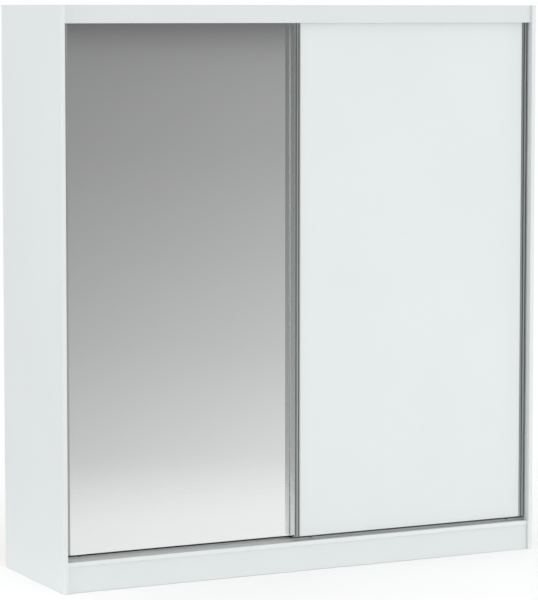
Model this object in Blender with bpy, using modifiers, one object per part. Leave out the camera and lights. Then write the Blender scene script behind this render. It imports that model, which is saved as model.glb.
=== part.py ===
"""Two-door sliding wardrobe in white laminated board.

A mirror door runs on the rear track and a plain white door on the front track.
Metres, +Z up. The origin is on the floor under the middle of the case, the front faces -Y
and +X is the right-hand side as seen from the front.
"""

import math

import bmesh
import bpy

# ---- Driving dimensions -------------------------------------------------------------------

WIDTH = 2.000
DEPTH = 0.590
HEIGHT = 2.150
BOARD = 0.016  # laminated board
EDGE_ROUND = 0.0006  # broken edges of the boards
GAP = 0.0003  # clearance between pieces that touch

GLIDE_HEIGHT = 0.002
GLIDE_RADIUS = 0.007
GLIDE_STEPS = 20
GLIDE_CHAMFER = 0.0004
SIDE_GLIDE_SETBACK = 0.040  # from the side panels' front and rear edges
CENTRE_GLIDE_SETBACK = 0.080
PLINTH_TOP = 0.099
FRONT_RECESS = 0.010  # fascia and bottom panel behind the side panels' front edges
PLINTH_RECESS = 0.0125
FASCIA_HEIGHT = 0.067
PARTITION_RECESS = 0.105  # fixed inner boards start behind the rear door

BACK_THICKNESS = 0.003
BACK_INSET = 0.010  # back panels in front of the side panels' rear edges
BACK_BOTTOM = 0.075
GROOVE_DEPTH = 0.006
GROOVE_WIDTH = 0.0036
JOINT_WEB = 0.0024  # plastic strip that joins the two back panels
JOINT_FLANGE = (0.024, 0.001)

DOOR_WIDTH = 1.025
DOOR_BOTTOM = 0.1305
DOOR_TOP = 2.0975
DOOR_THICKNESS = 0.016
DOOR_SIDE_GAP = 0.0015
FRONT_DOOR_FACE = 0.0325  # behind the side panels' front edges
TRACK_PITCH = 0.0355  # from the front door's plane to the rear door's
GUIDE_LINE = 0.010  # middle plane of wheels and guides, behind a door's face
MIRROR_THICKNESS = 0.004

# The mirror's stiles are wider in front, and lie nearly flush with the glass.
STILE_WIDTHS = {"panel": 0.026, "mirror": 0.035}
STILE_PROUDS = {"panel": 0.0045, "mirror": 0.0018}
STILE_GROOVE_DEPTHS = {"panel": 0.0030, "mirror": 0.0007}
STILE_LIPS = {  # depths of the sloping lip: beside the groove, at its foot and at its tip
    "panel": (0.0003, 0.0026, 0.0033),
    "mirror": (0.0001, 0.0004, 0.0009),
}
STILE_LIP_TIP = 0.0008  # width of the lip's tip
STILE_REAR = 0.0285  # of the flange's rear edge, behind a door's face
STILE_WEB = 0.009  # from the stile's outer edge to the floor of its channel
STILE_CORNER = 0.0016  # radius of the front outer corner
STILE_GROOVES = ((0.0038, 0.0076), (0.0156, 0.0194))  # from the stile's outer edge
STILE_GROOVE_CHAMFER = 0.0005
STILE_REAR_LIP = (0.024, 0.0014)  # reach and thickness behind the panel
STILE_FLANGE = 0.0036  # thickness of the outer wall, which reaches back beyond the rear lip
STILE_REAR_CHAMFER = 0.0010

WHEEL_TREAD = 0.011
WHEEL_FLANGE = 0.013
WHEEL_HALF_WIDTH = 0.0032
WHEEL_CHAMFER = 0.0004
WHEEL_GROOVE_MOUTH = 0.0023  # half widths of the groove that the rib runs in
WHEEL_GROOVE_FLOOR = 0.0016
WHEEL_HEADROOM = 0.001  # between a wheel and the top of its slot
WHEEL_STEPS = 28
AXLE_RADIUS = 0.0025
AXLE_CLEARANCE = 0.0001
AXLE_CHAMFER = 0.0003
ROUND_STEPS = 24  # sides of an axle and of its hole
CARRIER_INSET = 0.075  # from a door's edge to the middle of its wheel or guide
CARRIER_SIZE = (0.056, 0.0114, 0.034)
CARRIER_DROP = 0.002  # how far a carrier stands below the door's bottom edge
CARRIER_SLOT = (0.028, 0.0074)
GUIDE_LENGTH = 0.036
GUIDE_BODY_HEIGHT = 0.0247
GUIDE_NOSE_WIDTH = 0.017
GUIDE_NOSE_TOP = 0.0285  # above the door's top edge
GUIDE_NOSE_CHAMFER = 0.002

TRACK_WALL = 0.0015
RIB_HEIGHT = 0.008
RIB_WIDTH = 0.002
RIB_CHAMFER = 0.0004
BOTTOM_TRACK_FRONT = 0.0115
BOTTOM_TRACK_WIDTH = 0.087
TOP_TRACK_HEIGHT = 0.030
CHANNEL_WIDTH = 0.020
STOP_LENGTH = 0.030
STOP_WIDTH = 0.0188
STOP_HEIGHT = 0.024
STOP_CLEARANCE = 0.0005  # between a stop and a guide at the end of its travel

HAT_SHELF_TOP = 1.800
SHELF_COUNT = 4
SHELF_COLUMN_WIDTH = 0.408
SHELF_SETBACK = 0.004  # shelves behind the partitions' front edges
RAIL_DROP = 0.080  # from the hat shelf's top to the rail's middle
RAIL_SIZE = (0.015, 0.030)
RAIL_WALL = 0.0012
RAIL_FORWARD = 0.045  # rail line behind the middle of the case
SOCKET_LENGTH = 0.010
SOCKET_WALL = 0.0032

# ---- Derived planes -----------------------------------------------------------------------

FRONT = -DEPTH / 2
SIDE_INNER = WIDTH / 2 - BOARD
INNER_EDGE = SIDE_INNER - GAP
BACK_REAR = DEPTH / 2 - BACK_INSET
BACK_FRONT = BACK_REAR - BACK_THICKNESS
BOARD_REAR = BACK_FRONT - GAP
FLOOR_TOP = PLINTH_TOP + BOARD
CEILING = HEIGHT - BOARD
RIB_TOP = FLOOR_TOP + GAP + RIB_HEIGHT
AXLE_HEIGHT = RIB_TOP + GAP + WHEEL_TREAD
DOOR_HEIGHT = DOOR_TOP - DOOR_BOTTOM
COLUMN_LEFT = SIDE_INNER - SHELF_COLUMN_WIDTH
HAT_SHELF_BOTTOM = HAT_SHELF_TOP - BOARD
RAIL_HEIGHT = HAT_SHELF_TOP - RAIL_DROP
PARTITION_FRONT = FRONT + PARTITION_RECESS
LEFTMOST_DOOR = -SIDE_INNER + DOOR_SIDE_GAP
RIGHTMOST_DOOR = SIDE_INNER - DOOR_SIDE_GAP - DOOR_WIDTH
DOOR_FACES = {
    "panel": FRONT + FRONT_DOOR_FACE,
    "mirror": FRONT + FRONT_DOOR_FACE + TRACK_PITCH,
}


# ---- Scene, collections and materials -----------------------------------------------------

for leftover in list(bpy.data.objects):
    bpy.data.objects.remove(leftover, do_unlink=True)

PARTS = bpy.data.collections.new("sliding_door_wardrobe")
CUTTERS = bpy.data.collections.new("cutters")
for collection in (PARTS, CUTTERS):
    bpy.context.scene.collection.children.link(collection)
CUTTERS.hide_render = True

# name: (colour, roughness, metallic)
FINISHES = {
    "white_board": ((0.83, 0.85, 0.85), 0.45, 0.0),
    "mirror_silver": ((0.90, 0.91, 0.91), 0.02, 1.0),
    "satin_aluminium": ((0.50, 0.51, 0.51), 0.35, 1.0),
    "chromed_steel": ((0.78, 0.78, 0.79), 0.12, 1.0),
    "grey_plastic": ((0.42, 0.43, 0.43), 0.50, 0.0),
    "white_nylon": ((0.86, 0.86, 0.84), 0.40, 0.0),
    "black_plastic": ((0.03, 0.03, 0.03), 0.50, 0.0),
    "raw_hardboard": ((0.36, 0.24, 0.15), 0.80, 0.0),
}


def finish_material(name):
    """The named finish as a Principled material, made once."""
    found = bpy.data.materials.get(name)
    if found:
        return found
    colour, roughness, metallic = FINISHES[name]
    material = bpy.data.materials.new(name)
    material.use_nodes = True
    shader = material.node_tree.nodes["Principled BSDF"]
    shader.inputs["Base Color"].default_value = (*colour, 1.0)
    shader.inputs["Roughness"].default_value = roughness
    shader.inputs["Metallic"].default_value = metallic
    return material


# ---- Shape helpers ------------------------------------------------------------------------


def add_object(name, data, location, finish=None, parent=None, collection=PARTS):
    obj = bpy.data.objects.new(name, data)
    obj.location = location
    obj.parent = parent
    collection.objects.link(obj)
    if finish:
        data.materials.append(finish_material(finish))
    return obj


def box_mesh(name, size):
    shape = bmesh.new()
    bmesh.ops.create_cube(shape, size=1.0)
    bmesh.ops.scale(shape, vec=size, verts=shape.verts)
    mesh = bpy.data.meshes.new(name)
    shape.to_mesh(mesh)
    shape.free()
    return mesh


def box(name, x, y, z, finish=None, parent=None, rounding=EDGE_ROUND, collection=PARTS):
    """A box between two values along each axis, with broken edges."""
    spans = (x, y, z)
    size = [high - low for low, high in spans]
    middle = [(low + high) / 2 for low, high in spans]
    obj = add_object(name, box_mesh(name, size), middle, finish, parent, collection)
    if rounding:
        bevel = obj.modifiers.new("broken_edges", "BEVEL")
        bevel.width = rounding
        bevel.segments = 1
    return obj


def cutter(name, x, y, z, parent=None):
    obj = box(name, x, y, z, parent=parent, rounding=0, collection=CUTTERS)
    obj.hide_render = True
    obj.display_type = "WIRE"
    return obj


def cut(obj, tool):
    """Takes a cutter's shape out of an object."""
    modifier = obj.modifiers.new(tool.name, "BOOLEAN")
    modifier.operation = "DIFFERENCE"
    modifier.object = tool


def cylinder_mesh(name, radius, length, segments, bevel=0.0):
    shape = bmesh.new()
    bmesh.ops.create_cone(
        shape,
        cap_ends=True,
        segments=segments,
        radius1=radius,
        radius2=radius,
        depth=length,
    )
    if bevel:
        rims = [edge for edge in shape.edges if edge.calc_face_angle() > math.radians(60)]
        bmesh.ops.bevel(shape, geom=rims, offset=bevel, segments=1, affect="EDGES")
    mesh = bpy.data.meshes.new(name)
    shape.to_mesh(mesh)
    shape.free()
    mesh.shade_smooth()
    mesh.set_sharp_from_angle(angle=math.radians(40))
    return mesh


def extrusion(name, outlines, length, location, finish, rotation=(0, 0, 0), parent=None):
    """Closed outlines in a plane, filled and given a length along the plane's normal."""
    curve = bpy.data.curves.new(name, "CURVE")
    curve.dimensions = "2D"
    curve.fill_mode = "BOTH"
    curve.extrude = length / 2
    for outline in outlines:
        spline = curve.splines.new("POLY")
        spline.points.add(len(outline) - 1)
        for point, (a, b) in zip(spline.points, outline):
            point.co = (a, b, 0, 1)
        spline.use_cyclic_u = True
    obj = add_object(name, curve, location, finish, parent)
    obj.rotation_euler = rotation
    return obj


# An extrusion turned this way has its outline's axes along +Y and +Z, and its length along X.
ALONG_X = (math.pi / 2, 0, math.pi / 2)


def arc(centre, radius, start, end, steps):
    """Points on a circle between two angles in degrees."""
    angles = [math.radians(start + (end - start) * i / steps) for i in range(steps + 1)]
    return [
        (centre[0] + radius * math.cos(a), centre[1] + radius * math.sin(a)) for a in angles
    ]


def stadium(width, height, steps=8):
    """An upright slot shape around the origin: straight sides and half-round ends."""
    radius = width / 2
    reach = height / 2 - radius
    return arc((0, reach), radius, 0, 180, steps) + arc((0, -reach), radius, 180, 360, steps)


# ---- Case ---------------------------------------------------------------------------------


def side_panels():
    for side, sign in (("left", -1), ("right", 1)):
        outer = sign * WIDTH / 2
        inner = sign * SIDE_INNER
        panel = box(
            f"side_panel_{side}",
            sorted((outer, inner)),
            (FRONT, -FRONT),
            (GLIDE_HEIGHT, HEIGHT),
            "white_board",
        )
        groove = cutter(
            f"back_groove_{side}",
            sorted((inner + sign * GROOVE_DEPTH, inner - sign * BOARD)),
            (BACK_FRONT - GAP, BACK_FRONT - GAP + GROOVE_WIDTH),
            (0, HEIGHT + BOARD),
        )
        cut(panel, groove)


def cross_boards():
    """Top, bottom, fascia and plinths, which lie between the side panels."""
    across = (-INNER_EDGE, INNER_EDGE)
    fascia_front = FRONT + FRONT_RECESS
    plinth_front = FRONT + PLINTH_RECESS
    plinth_rear = BOARD_REAR - BOARD
    plinth_height = (GLIDE_HEIGHT, PLINTH_TOP - GAP)
    top_front = fascia_front + BOARD + GAP
    box("top_panel", across, (top_front, BOARD_REAR), (CEILING, HEIGHT), "white_board")
    box(
        "fascia",
        across,
        (fascia_front, fascia_front + BOARD),
        (HEIGHT - FASCIA_HEIGHT, HEIGHT),
        "white_board",
    )
    box("bottom_panel", across, (fascia_front, BOARD_REAR), (PLINTH_TOP, FLOOR_TOP), "white_board")
    box("plinth_front", across, (plinth_front, plinth_front + BOARD), plinth_height, "white_board")
    box("plinth_rear", across, (plinth_rear, plinth_rear + BOARD), plinth_height, "white_board")
    box(
        "plinth_brace",
        (-BOARD / 2, BOARD / 2),
        (plinth_front + BOARD + GAP, plinth_rear - GAP),
        plinth_height,
        "white_board",
    )


def back_panels():
    height = (BACK_BOTTOM, HEIGHT - 2 * GAP)
    seam = JOINT_WEB / 2 + GAP
    reach = SIDE_INNER + GROOVE_DEPTH - 2 * GAP
    for side, sign in (("left", -1), ("right", 1)):
        box(
            f"back_panel_{side}",
            sorted((sign * seam, sign * reach)),
            (BACK_FRONT, BACK_REAR),
            height,
            "raw_hardboard",
            rounding=0,
        )
    half_web, half_flange = JOINT_WEB / 2, JOINT_FLANGE[0] / 2
    flange_front = BACK_REAR + GAP
    flange_rear = flange_front + JOINT_FLANGE[1]
    slope = JOINT_FLANGE[1] / 2
    outline = [
        (-half_web, BACK_FRONT),
        (half_web, BACK_FRONT),
        (half_web, flange_front),
        (half_flange, flange_front),
        (half_flange - slope, flange_rear),
        (-half_flange + slope, flange_rear),
        (-half_flange, flange_front),
        (-half_web, flange_front),
    ]
    middle = (0, 0, sum(height) / 2)
    extrusion("back_joint_strip", [outline], height[1] - height[0], middle, "white_nylon")


def partitions_and_shelves():
    depth = (PARTITION_FRONT, BOARD_REAR)
    shelf_depth = (PARTITION_FRONT + SHELF_SETBACK, BOARD_REAR)
    half = BOARD / 2
    box(
        "centre_partition",
        (-half, half),
        depth,
        (FLOOR_TOP + GAP, CEILING - GAP),
        "white_board",
    )
    left_bay = (-INNER_EDGE, -half - GAP)
    right_bay = (half + GAP, INNER_EDGE)
    hat_height = (HAT_SHELF_BOTTOM, HAT_SHELF_TOP)
    box("hat_shelf_left", left_bay, shelf_depth, hat_height, "white_board")
    box("hat_shelf_right", right_bay, shelf_depth, hat_height, "white_board")
    box(
        "shelf_partition",
        (COLUMN_LEFT - BOARD, COLUMN_LEFT),
        shelf_depth,
        (FLOOR_TOP + GAP, HAT_SHELF_BOTTOM - GAP),
        "white_board",
    )
    free_height = HAT_SHELF_BOTTOM - FLOOR_TOP
    step = (free_height + BOARD) / (SHELF_COUNT + 1)
    for number in range(1, SHELF_COUNT + 1):
        top = FLOOR_TOP + number * step
        box(
            f"shelf_{number}",
            (COLUMN_LEFT + GAP, INNER_EDGE),
            shelf_depth,
            (top - BOARD, top),
            "white_board",
        )


def hanging_rails():
    bays = {
        "left": (-SIDE_INNER, -BOARD / 2),
        "right": (BOARD / 2, COLUMN_LEFT - BOARD),
    }
    inner = [size - 2 * RAIL_WALL for size in RAIL_SIZE]
    socket_hole = [size + 2 * GAP for size in RAIL_SIZE]
    socket_outer = [size + 2 * SOCKET_WALL for size in RAIL_SIZE]
    for side, (start, end) in bays.items():
        middle = ((start + end) / 2, RAIL_FORWARD, RAIL_HEIGHT)
        length = end - start - 4 * GAP
        tube = [stadium(*RAIL_SIZE), stadium(*inner)]
        extrusion(f"hanging_rail_{side}", tube, length, middle, "chromed_steel", ALONG_X)
        ring = [stadium(*socket_outer), stadium(*socket_hole)]
        for end_name, x in (("outer", start), ("inner", end)):
            inwards = math.copysign(SOCKET_LENGTH / 2 + GAP, middle[0] - x)
            place = (x + inwards, RAIL_FORWARD, RAIL_HEIGHT)
            name = f"rail_socket_{side}_{end_name}"
            extrusion(name, ring, SOCKET_LENGTH, place, "chromed_steel", ALONG_X)


def glides():
    mesh = cylinder_mesh("glide", GLIDE_RADIUS, GLIDE_HEIGHT - GAP, GLIDE_STEPS, GLIDE_CHAMFER)
    mesh.materials.append(finish_material("white_nylon"))
    side = WIDTH / 2 - BOARD / 2
    reach = DEPTH / 2 - SIDE_GLIDE_SETBACK
    centre_reach = DEPTH / 2 - CENTRE_GLIDE_SETBACK
    spots = {
        "front_left": (-side, -reach),
        "front_right": (side, -reach),
        "rear_left": (-side, reach),
        "rear_right": (side, reach),
        "front_centre": (0, -centre_reach),
        "rear_centre": (0, centre_reach),
    }
    for where, (x, y) in spots.items():
        add_object(f"glide_{where}", mesh, (x, y, (GLIDE_HEIGHT - GAP) / 2))


# ---- Tracks -------------------------------------------------------------------------------


def guide_planes():
    """Middle planes of the front and the rear door's wheels and guides."""
    return [face + GUIDE_LINE for face in (DOOR_FACES["panel"], DOOR_FACES["mirror"])]


def bottom_track():
    """A flat base with one rib under each door's wheels."""
    front = FRONT + BOTTOM_TRACK_FRONT
    rear = front + BOTTOM_TRACK_WIDTH
    half = RIB_WIDTH / 2
    crown = RIB_CHAMFER
    outline = [(front, 0), (rear, 0), (rear, TRACK_WALL)]
    for middle in reversed(guide_planes()):
        outline += [
            (middle + half, TRACK_WALL),
            (middle + half, RIB_HEIGHT - crown),
            (middle + half - crown, RIB_HEIGHT),
            (middle - half + crown, RIB_HEIGHT),
            (middle - half, RIB_HEIGHT - crown),
            (middle - half, TRACK_WALL),
        ]
    outline.append((front + TRACK_WALL, TRACK_WALL))
    place = (0, 0, FLOOR_TOP + GAP)
    extrusion("bottom_track", [outline], 2 * INNER_EDGE, place, "satin_aluminium", ALONG_X)


def top_track():
    """A flat roof with two channels that open downwards, one for each door's guides."""
    half = CHANNEL_WIDTH / 2
    roof = -TRACK_WALL
    foot = -TOP_TRACK_HEIGHT
    front_middle, rear_middle = guide_planes()
    front = front_middle - half - TRACK_WALL
    rear = rear_middle + half + TRACK_WALL
    outline = [(front, 0), (front, foot)]
    for middle in (front_middle, rear_middle):
        outline += [
            (middle - half, foot),
            (middle - half, roof),
            (middle + half, roof),
            (middle + half, foot),
            (middle + half + TRACK_WALL, foot),
        ]
        if middle is front_middle:
            outline += [
                (middle + half + TRACK_WALL, roof),
                (rear_middle - half - TRACK_WALL, roof),
                (rear_middle - half - TRACK_WALL, foot),
            ]
    outline.append((rear, 0))
    place = (0, 0, CEILING - GAP)
    extrusion("top_track", [outline], 2 * INNER_EDGE, place, "satin_aluminium", ALONG_X)


def track_stops():
    """Blocks in the channels' ends, which a door's guide meets at the end of its travel."""
    guide_end = DOOR_SIDE_GAP + CARRIER_INSET - GUIDE_LENGTH / 2
    far = SIDE_INNER - guide_end + STOP_CLEARANCE
    top = CEILING - 2 * GAP - TRACK_WALL
    half = STOP_WIDTH / 2
    for line, middle in zip(("front", "rear"), guide_planes()):
        for side, sign in (("left", -1), ("right", 1)):
            box(
                f"track_stop_{line}_{side}",
                sorted((sign * far, sign * (far + STOP_LENGTH))),
                (middle - half, middle + half),
                (top - STOP_HEIGHT, top),
                "black_plastic",
            )


# ---- Doors --------------------------------------------------------------------------------
# A door's parts are placed from its lower left front corner: X to the right, Y back from the
# face of its panel, and Z up from its bottom edge.


def stile_outline(kind):
    """Section of a stile from its outer edge, with Y back from its front: two decorative
    grooves and a sloping lip in front, a channel for the panel, and a flange behind it."""
    width, proud, groove_depth = STILE_WIDTHS[kind], STILE_PROUDS[kind], STILE_GROOVE_DEPTHS[kind]
    lip_top, lip_foot, lip_tip = STILE_LIPS[kind]
    channel_front = proud - GAP
    channel_rear = proud + DOOR_THICKNESS + GAP
    depth = proud + STILE_REAR
    front = arc((STILE_CORNER, STILE_CORNER), STILE_CORNER, 180, 270, 4)
    for start, end in STILE_GROOVES:
        front += [
            (start, 0),
            (start + STILE_GROOVE_CHAMFER, groove_depth),
            (end - STILE_GROOVE_CHAMFER, groove_depth),
        ]
        if (start, end) != STILE_GROOVES[-1]:
            front.append((end, 0))
    lip = [
        (STILE_GROOVES[-1][1], lip_top),
        (width - STILE_LIP_TIP, lip_foot),
        (width, lip_tip),
    ]
    rear_reach, rear_thickness = STILE_REAR_LIP
    channel = [
        (width, channel_front),
        (STILE_WEB, channel_front),
        (STILE_WEB, channel_rear),
        (rear_reach, channel_rear),
        (rear_reach, channel_rear + rear_thickness),
    ]
    flange = [
        (STILE_FLANGE, channel_rear + rear_thickness),
        (STILE_FLANGE, depth),
        (STILE_REAR_CHAMFER, depth),
        (0, depth - STILE_REAR_CHAMFER),
    ]
    return front + lip + channel + flange


def stiles(kind, base):
    """Two lengths of one section; the right one is the left one turned end for end."""
    front, middle = -STILE_PROUDS[kind], DOOR_HEIGHT / 2
    left = extrusion(
        f"{kind}_door_stile_left",
        [stile_outline(kind)],
        DOOR_HEIGHT,
        (0, front, middle),
        "satin_aluminium",
        parent=base,
    )
    right = add_object(
        f"{kind}_door_stile_right", left.data, (DOOR_WIDTH, front, middle), parent=base
    )
    right.rotation_euler = (0, math.pi, 0)


def fitting_places():
    """Distances from a door's left edge to the middles of its wheels and guides."""
    return (("left", CARRIER_INSET), ("right", DOOR_WIDTH - CARRIER_INSET))


def pocket_panel(door, panel, base):
    """Cuts the pockets for the wheel carriers and the guides into a door's panel."""
    rear = (MIRROR_THICKNESS, 2 * DOOR_THICKNESS)
    carrier_half = CARRIER_SIZE[0] / 2 + GAP
    carrier_top = CARRIER_SIZE[2] - CARRIER_DROP + GAP
    guide_half = GUIDE_LENGTH / 2 + GAP
    guide_floor = DOOR_HEIGHT - GUIDE_BODY_HEIGHT - GAP
    for side, x in fitting_places():
        tools = (
            (f"{door}_carrier_pocket_{side}", carrier_half, (-BOARD, carrier_top)),
            (f"{door}_guide_pocket_{side}", guide_half, (guide_floor, DOOR_HEIGHT + BOARD)),
        )
        for name, half, height in tools:
            cut(panel, cutter(name, (x - half, x + half), rear, height, base))


def carrier(door, side, x, base):
    """A block with a slot for the wheel, open below, and a hole for its axle."""
    length, thickness, height = CARRIER_SIZE
    slot_length, slot_width = CARRIER_SLOT
    axle_z = AXLE_HEIGHT - DOOR_BOTTOM
    slot_top = axle_z + WHEEL_FLANGE + WHEEL_HEADROOM
    body = box(
        f"{door}_roller_carrier_{side}",
        (x - length / 2, x + length / 2),
        (GUIDE_LINE - thickness / 2, GUIDE_LINE + thickness / 2),
        (-CARRIER_DROP, height - CARRIER_DROP),
        "grey_plastic",
        base,
    )
    slot = cutter(
        f"{door}_wheel_slot_{side}",
        (x - slot_length / 2, x + slot_length / 2),
        (GUIDE_LINE - slot_width / 2, GUIDE_LINE + slot_width / 2),
        (-BOARD, slot_top),
        base,
    )
    cut(body, slot)
    hole_name = f"{door}_axle_hole_{side}"
    hole_radius = AXLE_RADIUS + AXLE_CLEARANCE
    hole_mesh = cylinder_mesh(hole_name, hole_radius, 2 * thickness, ROUND_STEPS)
    hole = add_object(hole_name, hole_mesh, (x, GUIDE_LINE, axle_z), None, base, CUTTERS)
    hole.rotation_euler = (math.pi / 2, 0, 0)
    hole.hide_render = True
    hole.display_type = "WIRE"
    cut(body, hole)


def axle(door, side, x, base):
    length = CARRIER_SIZE[1] - 2 * GAP
    name = f"{door}_axle_{side}"
    mesh = cylinder_mesh(name, AXLE_RADIUS, length, ROUND_STEPS, AXLE_CHAMFER)
    place = (x, GUIDE_LINE, AXLE_HEIGHT - DOOR_BOTTOM)
    pin = add_object(name, mesh, place, "chromed_steel", base)
    pin.rotation_euler = (math.pi / 2, 0, 0)


def wheel_profile():
    """Half section of a grooved wheel, down its outer side and back up its bore."""
    bore = AXLE_RADIUS + 1.2 * AXLE_CLEARANCE
    rim = WHEEL_HALF_WIDTH
    upper = [
        (bore, rim),
        (WHEEL_FLANGE - WHEEL_CHAMFER, rim),
        (WHEEL_FLANGE, rim - WHEEL_CHAMFER),
        (WHEEL_FLANGE, WHEEL_GROOVE_MOUTH),
        (WHEEL_TREAD, WHEEL_GROOVE_FLOOR),
    ]
    return upper + [(radius, -height) for radius, height in reversed(upper)]


def wheel(door, side, x, base):
    """A turned wheel whose origin is on its axle."""
    shape = bmesh.new()
    verts = [shape.verts.new((radius, 0, height)) for radius, height in wheel_profile()]
    for first, second in zip(verts, verts[1:] + verts[:1]):
        shape.edges.new((first, second))
    mesh = bpy.data.meshes.new(f"{door}_wheel_{side}")
    shape.to_mesh(mesh)
    shape.free()
    place = (x, GUIDE_LINE, AXLE_HEIGHT - DOOR_BOTTOM)
    obj = add_object(f"{door}_wheel_{side}", mesh, place, "black_plastic", base)
    obj.rotation_euler = (math.pi / 2, 0, 0)
    turn = obj.modifiers.new("turned", "SCREW")
    turn.steps = WHEEL_STEPS
    turn.render_steps = WHEEL_STEPS
    turn.use_merge_vertices = True
    turn.merge_threshold = 0.00001  # 10 micrometres, well under any feature of the wheel
    turn.use_smooth_shade = False


def top_guide(door, side, x, base):
    """A plug in the door's top edge with a nose that slides in the top track's channel."""
    half_body = CARRIER_SIZE[1] / 2
    half_nose = GUIDE_NOSE_WIDTH / 2
    shoulder = GAP
    tip = GUIDE_NOSE_CHAMFER
    outline = [
        (-half_body, -GUIDE_BODY_HEIGHT),
        (half_body, -GUIDE_BODY_HEIGHT),
        (half_body, shoulder),
        (half_nose, shoulder),
        (half_nose, GUIDE_NOSE_TOP - tip),
        (half_nose - tip, GUIDE_NOSE_TOP),
        (-half_nose + tip, GUIDE_NOSE_TOP),
        (-half_nose, GUIDE_NOSE_TOP - tip),
        (-half_nose, shoulder),
        (-half_body, shoulder),
    ]
    place = (x, GUIDE_LINE, DOOR_HEIGHT)
    name = f"{door}_top_guide_{side}"
    extrusion(name, [outline], GUIDE_LENGTH, place, "black_plastic", ALONG_X, base)


def door(kind, left_edge):
    base = bpy.data.objects.new(f"{kind}_door_slide", None)
    base.location = (left_edge, DOOR_FACES[kind], DOOR_BOTTOM)
    PARTS.objects.link(base)
    name = f"{kind}_door"
    edge = STILE_WEB + GAP
    across = (edge, DOOR_WIDTH - edge)
    height = (0, DOOR_HEIGHT)
    front = 0.0
    if kind == "mirror":
        box("mirror_glass", across, (0, MIRROR_THICKNESS), height, "mirror_silver", base)
        front = MIRROR_THICKNESS + GAP
    panel = box(f"{name}_board", across, (front, DOOR_THICKNESS), height, "white_board", base)
    pocket_panel(name, panel, base)
    stiles(kind, base)
    for side, x in fitting_places():
        carrier(name, side, x, base)
        axle(name, side, x, base)
        wheel(name, side, x, base)
        top_guide(name, side, x, base)


# ---- Assembly -----------------------------------------------------------------------------

side_panels()
cross_boards()
back_panels()
partitions_and_shelves()
hanging_rails()
glides()
bottom_track()
top_track()
track_stops()
door("mirror", LEFTMOST_DOOR)
door("panel", RIGHTMOST_DOOR)
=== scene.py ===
"""Looks of the two-door sliding wardrobe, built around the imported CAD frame.

Metres, +Z up. The front faces -Y, so +X is on the right as seen from the front.
"""

import math

import bmesh
import bpy
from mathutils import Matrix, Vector


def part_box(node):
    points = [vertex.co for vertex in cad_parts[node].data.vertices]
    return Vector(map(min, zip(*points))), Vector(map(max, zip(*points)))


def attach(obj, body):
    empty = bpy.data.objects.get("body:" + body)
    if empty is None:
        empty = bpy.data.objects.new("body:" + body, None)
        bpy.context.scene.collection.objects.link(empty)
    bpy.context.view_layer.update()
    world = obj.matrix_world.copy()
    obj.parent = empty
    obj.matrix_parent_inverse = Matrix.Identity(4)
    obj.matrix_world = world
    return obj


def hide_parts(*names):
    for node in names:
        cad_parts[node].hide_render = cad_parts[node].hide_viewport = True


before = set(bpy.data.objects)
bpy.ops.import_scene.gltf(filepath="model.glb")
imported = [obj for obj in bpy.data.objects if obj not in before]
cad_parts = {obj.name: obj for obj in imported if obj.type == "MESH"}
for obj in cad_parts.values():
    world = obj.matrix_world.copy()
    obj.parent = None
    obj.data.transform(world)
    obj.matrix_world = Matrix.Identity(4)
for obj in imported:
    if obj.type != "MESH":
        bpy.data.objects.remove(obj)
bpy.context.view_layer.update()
SCENE = bpy.context.scene

# ---- Sizes that the CAD boxes don't give ----------------------------------------------------

BAND_ROUND = 0.0010  # rounding of the edge bands
GLUE_LINE = 0.00018
GAP = 0.0003  # play around a panel in its groove or channel

BACK_GROOVE = (0.006, 0.0036)  # depth and width of the groove that holds the back
GROOVE_OVERRUN = 0.01  # how far its cutter runs out of the board
PIN_HOLE_RADIUS = 0.0025
PIN_HOLE_DEPTH = 0.009
DRILL_POINT = 0.0015  # cone at the bottom of a hole
DRILL_LEAD = 0.002  # how far a drill starts outside the board
PIN_PITCH = 0.032
PIN_SETBACK = 0.037  # rows of holes, from a shelf's front and rear edge
HOLES_EACH_WAY = 2  # above and below each shelf's own hole

# Turned fittings: (radius, height) from the surface that they sit in.
NAIL_HEAD = (
    (0, -0.0005), (0.0019, -0.0005), (0.0021, 0.0002), (0.0017, 0.0005), (0.0006, 0.0007), (0, 0.0007),
)
SHELF_PIN = (
    (0, 0.0070), (0.0024, 0.0065), (0.0024, 0), (0.0042, 0), (0.0042, -0.0012), (0.0024, -0.0012),
    (0.0024, -0.0075), (0.0016, -0.0085), (0, -0.0085),
)
CAM_COVER = ((0, -0.001), (0.0083, -0.001), (0.0086, 0.0004), (0.0080, 0.0010), (0, 0.0013))

NAILS_ACROSS, NAILS_UP = 9, 11
NAIL_INSETS = (0.060, 0.050)  # from the case's middle and from the back's outer edge
NAIL_SWAY = 0.0012  # how far a nail can be off its place
CAM_INSET, CAM_SETBACK = 0.034, 0.060  # from a board's end and from its front and rear edge

RAIL_WALL = 0.0012
SOCKET_HOLE = (0.0156, 0.0306)  # width and height of the opening for the rail
SOCKET_LIP = 0.0008
SOCKET_PLATE = 0.0018  # thickness of the flange
SOCKET_FLANGE = (0.004, 0.030)  # how much wider and taller than the ring

TRACK_WALL = 0.0015
RIB = (0.0020, 0.008)  # width and height of the ribs that the wheels run on
RIB_FOOT = 0.0008
CHANNEL_WIDTH = 0.020  # of the top track, one channel for each door
TRACK_SCREWS = 6
TRACK_SCREW_INSET = 0.045

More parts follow.
